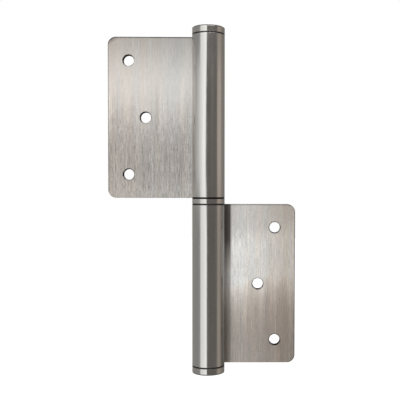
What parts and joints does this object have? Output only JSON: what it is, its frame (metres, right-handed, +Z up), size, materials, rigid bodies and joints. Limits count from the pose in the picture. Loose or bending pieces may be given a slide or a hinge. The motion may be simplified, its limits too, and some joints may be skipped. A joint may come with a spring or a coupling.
{
  "type": "lift-off flag hinge",
  "caption": "Stainless steel lift-off flag hinge of rolled sheet, one leaf above the other, joined by a fixed pin with a thrust washer and end caps, so that the upper leaf swings and lifts off.",
  "frame": {"origin": "on the pin's axis, at mid-height of the washer between the two knuckles", "axes": "+Z up the pin, +X towards the lower leaf, +Y towards the mounting face, so the knuckles stand proud towards -Y"},
  "size_m": [0.0935, 0.016, 0.17],
  "materials": {
    "brushed_leaf": "fine brushed grain along the pin, satin",
    "turned_steel": "turned and polished, satin sheen"
  },
  "bodies": {
    "lower": {"lower_leaf": "brushed_leaf", "pin": "turned_steel", "lower_cap": "turned_steel"},
    "washer": {"washer": "turned_steel"},
    "upper": {"upper_leaf": "brushed_leaf", "upper_cap": "turned_steel"}
  },
  "joints": [
    {"name": "swing", "type": "hinge", "parent": "lower", "child": "washer", "pos_m": [0, 0, 0], "axis": [0, 0, 1], "continuous": true},
    {"name": "lift_off", "type": "slide", "parent": "washer", "child": "upper", "axis": [0, 0, 1], "range_m": [0, 0.08]}
  ]
}
